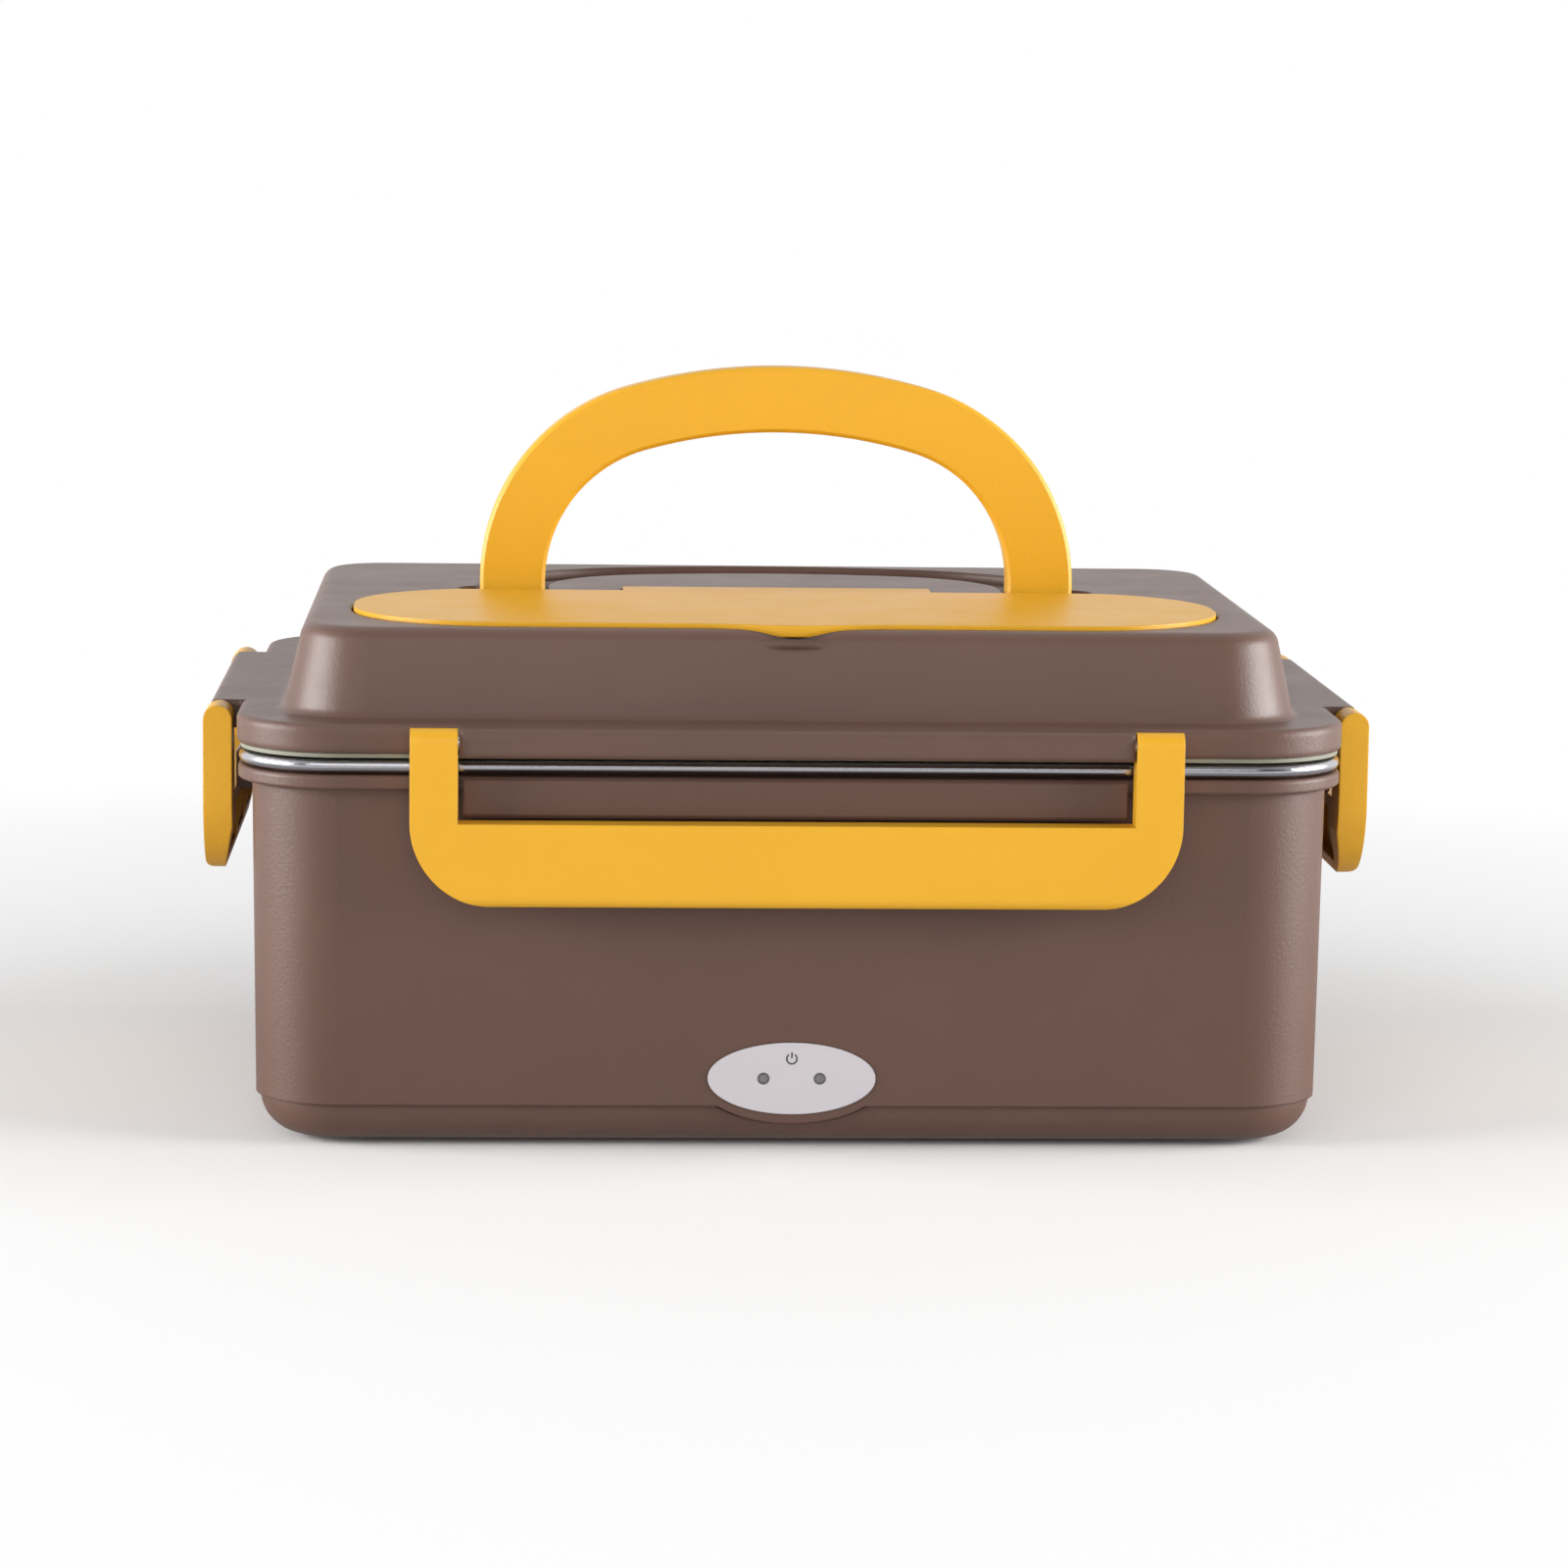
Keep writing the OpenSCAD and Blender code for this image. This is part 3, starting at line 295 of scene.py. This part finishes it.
def band_on_front(outer, inner, centre, y0, y1, start=0.0, turn=360.0, steps=48):
    """Vertices and faces of a flat ring, or of part of one: in the XZ plane, from y0 to y1.

    The part starts at an angle in degrees from +X towards +Z, and turns on by another.
    """
    closed = turn >= 360
    count = steps if closed else steps + 1
    verts = []
    for i in range(count):
        a = math.radians(start + turn * i / steps)
        for r, y in ((outer, y1), (outer, y0), (inner, y0), (inner, y1)):
            verts.append((centre[0] + r * math.cos(a), y, centre[1] + r * math.sin(a)))
    faces = []
    for i in range(steps):
        j = (i + 1) % count
        for k in range(4):
            m = (k + 1) % 4
            faces.append((4 * i + k, 4 * i + m, 4 * j + m, 4 * j + k))
    if not closed:
        last = 4 * steps
        faces += [(3, 2, 1, 0), (last, last + 1, last + 2, last + 3)]
    return verts, faces


def rounded_loop(half_x, half_y, radius, steps=16):
    """Points and outward directions round a rectangle with rounded corners."""
    loop = []
    for sx, sy, turn in ((1, -1, -90), (1, 1, 0), (-1, 1, 90), (-1, -1, 180)):
        for i in range(steps + 1):
            a = math.radians(turn + 90 * i / steps)
            loop.append((sx * (half_x - radius) + radius * math.cos(a),
                         sy * (half_y - radius) + radius * math.sin(a), math.cos(a), math.sin(a)))
    return loop


def rim_bead(material, radius=1.4 * MM, reach=0.7 * MM, drop=1.2 * MM, corner=20 * MM, sides=24):
    """Rolled edge of the steel container: a round bead all the way round its rim.

    It reaches a little past the solid's rim, with its middle a drop below the top. The corner
    is the radius of the solid's rim in plan.
    """
    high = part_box("steel_container")[1]
    grow = reach - radius
    loop = rounded_loop(high.x + grow, high.y + grow, corner + grow)
    verts, faces = [], []
    for i, (x, y, dx, dy) in enumerate(loop):
        j = (i + 1) % len(loop)
        for k in range(sides):
            a = 2 * math.pi * k / sides
            out, up = radius * math.cos(a), radius * math.sin(a)
            verts.append((x + dx * out, y + dy * out, high.z - drop + up))
            m = (k + 1) % sides
            faces.append((sides * i + k, sides * j + k, sides * j + m, sides * i + m))
    bead = mesh_piece("rim_bead", material, "container", verts, faces)
    for face in bead.data.polygons:
        face.use_smooth = True


def light_rings(material, centre_z, panel_face):
    """Dark ring round each status light, just proud of the panel."""
    low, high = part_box("light_pipes")
    radius = (high.z - low.z) / 2
    for side, x in (("left", low.x + radius), ("right", high.x - radius)):
        band = band_on_front(1.18 * radius, 0.9 * radius, (x, centre_z),
                             panel_face - 0.04 * MM, panel_face + 0.1 * MM)
        mesh_piece("light_ring_" + side, material, "base", *band)


def standby_sign(material, x, z, panel_face, radius=1.25 * MM, line=0.32 * MM, rise=0.15 * MM):
    """Open ring with a bar in its gap, printed on the panel."""
    y0, y1 = panel_face - 0.03 * MM, panel_face + 0.1 * MM
    mesh_piece("standby_ring", material, "base",
               *band_on_front(radius, radius - line, (x, z), y0, y1, start=125, turn=290))
    corners = [(cx, cy, cz) for cx in (x - line / 2, x + line / 2) for cy in (y0, y1)
               for cz in (z + rise, z + radius + rise)]
    mesh_piece("standby_bar", material, "base", corners,
               [(0, 1, 3, 2), (4, 6, 7, 5), (0, 4, 5, 1), (2, 3, 7, 6), (0, 2, 6, 4), (1, 5, 7, 3)])


rim_bead(plain("bead_steel", BEAD, 0.2, metallic=1, mottle=0.02, scale=60))

SIGN_ABOVE_CENTRE = 4.3 * MM
panel_low, panel_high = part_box("indicator_panel")
panel_x, panel_z = (panel_low.x + panel_high.x) / 2, (panel_low.z + panel_high.z) / 2
ink = plain("panel_ink", PRINT, 0.5, mottle=0.1)
light_rings(plain("lens_ring", LENS_RING, 0.4), panel_z, panel_low.y)
standby_sign(ink, panel_x, panel_z + SIGN_ABOVE_CENTRE, panel_low.y)


# Floor, light and camera

def white_ground(fade_from=0.2, fade_to=0.5, mirrored=0.3):
    """Pale floor that takes the object's shadow and fades to plain white around it.

    Reflections of the floor near the object are dimmer than white.
    """
    mat = bpy.data.materials.new("floor")
    tree, surface = cleared(mat, "ShaderNodeOutputMaterial")
    matt = add(tree, "ShaderNodeBsdfDiffuse", Color=FLOOR_GREY).outputs[0]
    white = add(tree, "ShaderNodeEmission", Color=WHITE, Strength=1.0).outputs[0]
    dim = add(tree, "ShaderNodeEmission", Color=WHITE, Strength=mirrored).outputs[0]
    rays = tree.nodes.new("ShaderNodeLightPath").outputs
    distance = tree.nodes.new("ShaderNodeVectorMath")
    distance.operation = "LENGTH"
    tree.links.new(object_coords(tree), distance.inputs[0])
    fade = spread(tree, distance.outputs["Value"], 0, 1, fade_from, fade_to)
    seen = maths(tree, "MAXIMUM", rays["Is Camera Ray"], rays["Is Glossy Ray"])
    near = shader_mix(tree, rays["Is Glossy Ray"], matt, dim)
    tree.links.new(shader_mix(tree, maths(tree, "MULTIPLY", fade, seen), near, white), surface)
    return mat


def floor(radius=3.0):
    """Round floor under the object."""
    mesh = bpy.data.meshes.new("floor")
    bm = bmesh.new()
    bmesh.ops.create_circle(bm, cap_ends=True, segments=96, radius=radius)
    bm.to_mesh(mesh)
    bm.free()
    mesh.materials.append(white_ground())
    ob = bpy.data.objects.new("floor", mesh)
    bpy.context.scene.collection.objects.link(ob)


def sky(ambient=0.30, mirrored_back=1.0, mirrored_front=0.12):
    """Pale surround: even as light, white where it is seen, and mirrored darker towards the front.

    The mirrored part goes from the front to the back by the direction's Y.
    """
    world = bpy.data.worlds.new("studio")
    bpy.context.scene.world = world
    tree, surface = cleared(world, "ShaderNodeOutputWorld")
    rays = tree.nodes.new("ShaderNodeLightPath").outputs
    light = add(tree, "ShaderNodeBackground", Color=WHITE, Strength=ambient).outputs[0]
    white = add(tree, "ShaderNodeBackground", Color=WHITE, Strength=1.0).outputs[0]
    mirrored = add(tree, "ShaderNodeBackground", Color=WHITE)
    direction = tree.nodes.new("ShaderNodeSeparateXYZ")
    tree.links.new(tree.nodes.new("ShaderNodeTexCoord").outputs["Generated"], direction.inputs[0])
    tree.links.new(spread(tree, direction.outputs["Y"], mirrored_front, mirrored_back,
                          start=-0.75, end=0.25), mirrored.inputs["Strength"])
    seen = maths(tree, "MAXIMUM", rays["Is Camera Ray"], rays["Is Transmission Ray"])
    shown = shader_mix(tree, seen, light, white)
    tree.links.new(shader_mix(tree, rays["Is Glossy Ray"], shown, mirrored.outputs[0]), surface)


def softbox(name, at, width, height, watts):
    """Rectangular lamp that faces the object, in metres."""
    lamp = bpy.data.lights.new(name, "AREA")
    lamp.shape = "RECTANGLE"
    lamp.size, lamp.size_y = width, height
    lamp.energy = watts
    ob = bpy.data.objects.new(name, lamp)
    ob.location = at
    ob.rotation_euler = (AIM - Vector(at)).to_track_quat("-Z", "Y").to_euler()
    bpy.context.scene.collection.objects.link(ob)


def camera():
    """Camera from the fit to the photograph."""
    cam = bpy.data.cameras.new("camera")
    cam.sensor_width = SENSOR
    cam.lens = SENSOR * FOCAL_PX / FRAME_PX
    cam.clip_start, cam.clip_end = CLIP
    cos_yaw, sin_yaw = math.cos(CAMERA_YAW), math.sin(CAMERA_YAW)
    cos_pitch, sin_pitch = math.cos(CAMERA_PITCH), math.sin(CAMERA_PITCH)
    cos_roll, sin_roll = math.cos(CAMERA_ROLL), math.sin(CAMERA_ROLL)
    ahead = Vector((sin_yaw * cos_pitch, cos_yaw * cos_pitch, sin_pitch))
    level = Vector((cos_yaw, -sin_yaw, 0))
    upright = level.cross(ahead)
    right = level * cos_roll + upright * sin_roll
    up = upright * cos_roll - level * sin_roll
    place = Matrix((right, up, -ahead)).transposed().to_4x4()
    place.translation = Vector(CAMERA_AT) * MM
    ob = bpy.data.objects.new("camera", cam)
    ob.matrix_world = place
    bpy.context.scene.collection.objects.link(ob)
    bpy.context.scene.camera = ob


floor()
sky()
softbox("key", (-0.3, -1.5, 0.8), 1.4, 0.9, watts=6)
softbox("left_strip", (-1.3, -0.26, 0.34), 1.0, 0.66, watts=27)
softbox("right_strip", (1.3, -0.26, 0.34), 1.0, 0.66, watts=29)
camera()
bpy.context.scene.view_settings.view_transform = "Standard"
